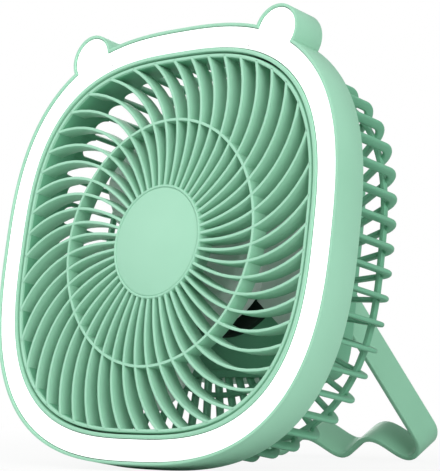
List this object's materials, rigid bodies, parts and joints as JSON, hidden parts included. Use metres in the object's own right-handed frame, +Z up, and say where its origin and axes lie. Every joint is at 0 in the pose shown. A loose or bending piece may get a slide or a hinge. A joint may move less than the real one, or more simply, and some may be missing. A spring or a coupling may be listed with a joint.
{
  "type": "portable fan",
  "caption": "Tabletop camping fan with a squared round ring light face, two small ears, a ribbed cage, a battery pod at the back and a wavy strap stand that folds.",
  "frame": {"origin": "centre of the bounding box on the ground, with the fan standing on its band and its open stand", "axes": "+Z up, -Y towards the person in front of the fan, +X to the right as that person sees it; the face leans back 9.8 degrees"},
  "size_m": [0.18, 0.1482, 0.1819],
  "materials": {
    "mint": "satin mint green",
    "mint_deep": "satin mint green, a little deeper",
    "diffuser": "translucent white",
    "white_board": "white solder mask",
    "lamp": "clear resin",
    "steel": "zinc plated",
    "black": "black moulded",
    "lamination": "stacked sheet",
    "copper": "enamelled copper wire",
    "can": "dark plated steel",
    "magnet": "bonded ferrite",
    "blade": "pale grey satin",
    "brass": "turned",
    "cell_wrap": "blue shrink wrap over a cell, of about the density of aluminium",
    "green_board": "green solder mask",
    "washer": "dark grey"
  },
  "bodies": {
    "casing": {"front_frame": "mint", "light_cover": "diffuser", "led_board": "white_board", "leds": "lamp", "front_grille": "mint", "hub_cap": "mint", "cage_flange": "mint", "cage_ribs": "mint", "cage_back": "mint", "cage_screws": "steel", "pod_shell": "mint", "pod_cover": "mint", "cover_screws": "steel", "motor_base": "black", "motor_screws": "steel", "bearings": "steel", "stator_core": "lamination", "stator_coils": "copper", "battery_cells": "cell_wrap", "battery_tabs": "steel", "battery_tray": "black", "control_board": "green_board", "board_screws": "steel", "switches": "black", "charge_lights": "lamp", "usb_socket": "steel", "hinge_bracket": "mint", "bracket_screws": "steel", "hinge_pin": "steel", "pin_caps": "steel", "friction_washers": "washer"},
    "rotor": {"impeller_hub": "blade", "impeller_blades": "blade", "impeller_nut": "brass", "motor_shaft": "steel", "rotor_can": "can", "rotor_magnets": "magnet"},
    "fan_key": {"fan_button": "mint_deep"},
    "light_key": {"light_button": "mint_deep"},
    "stand": {"stand_bail": "mint"}
  },
  "joints": [
    {"name": "impeller_spin", "type": "hinge", "parent": "casing", "child": "rotor", "pos_m": [0, -0.02841, 0.08535], "axis": [0, 0.9854, -0.1702], "continuous": true},
    {"name": "stand_hinge", "type": "hinge", "parent": "casing", "child": "stand", "pos_m": [0, 0.02753, 0.08258], "axis": [1, 0, 0], "range_deg": [-36.44, 143.56]},
    {"name": "fan_button_press", "type": "slide", "parent": "casing", "child": "fan_key", "axis": [0, -0.9854, 0.1702], "range_m": [0, 0.0008], "stiffness_N_per_m": 600},
    {"name": "light_button_press", "type": "slide", "parent": "casing", "child": "light_key", "axis": [0, -0.9854, 0.1702], "range_m": [0, 0.0008], "stiffness_N_per_m": 600}
  ]
}
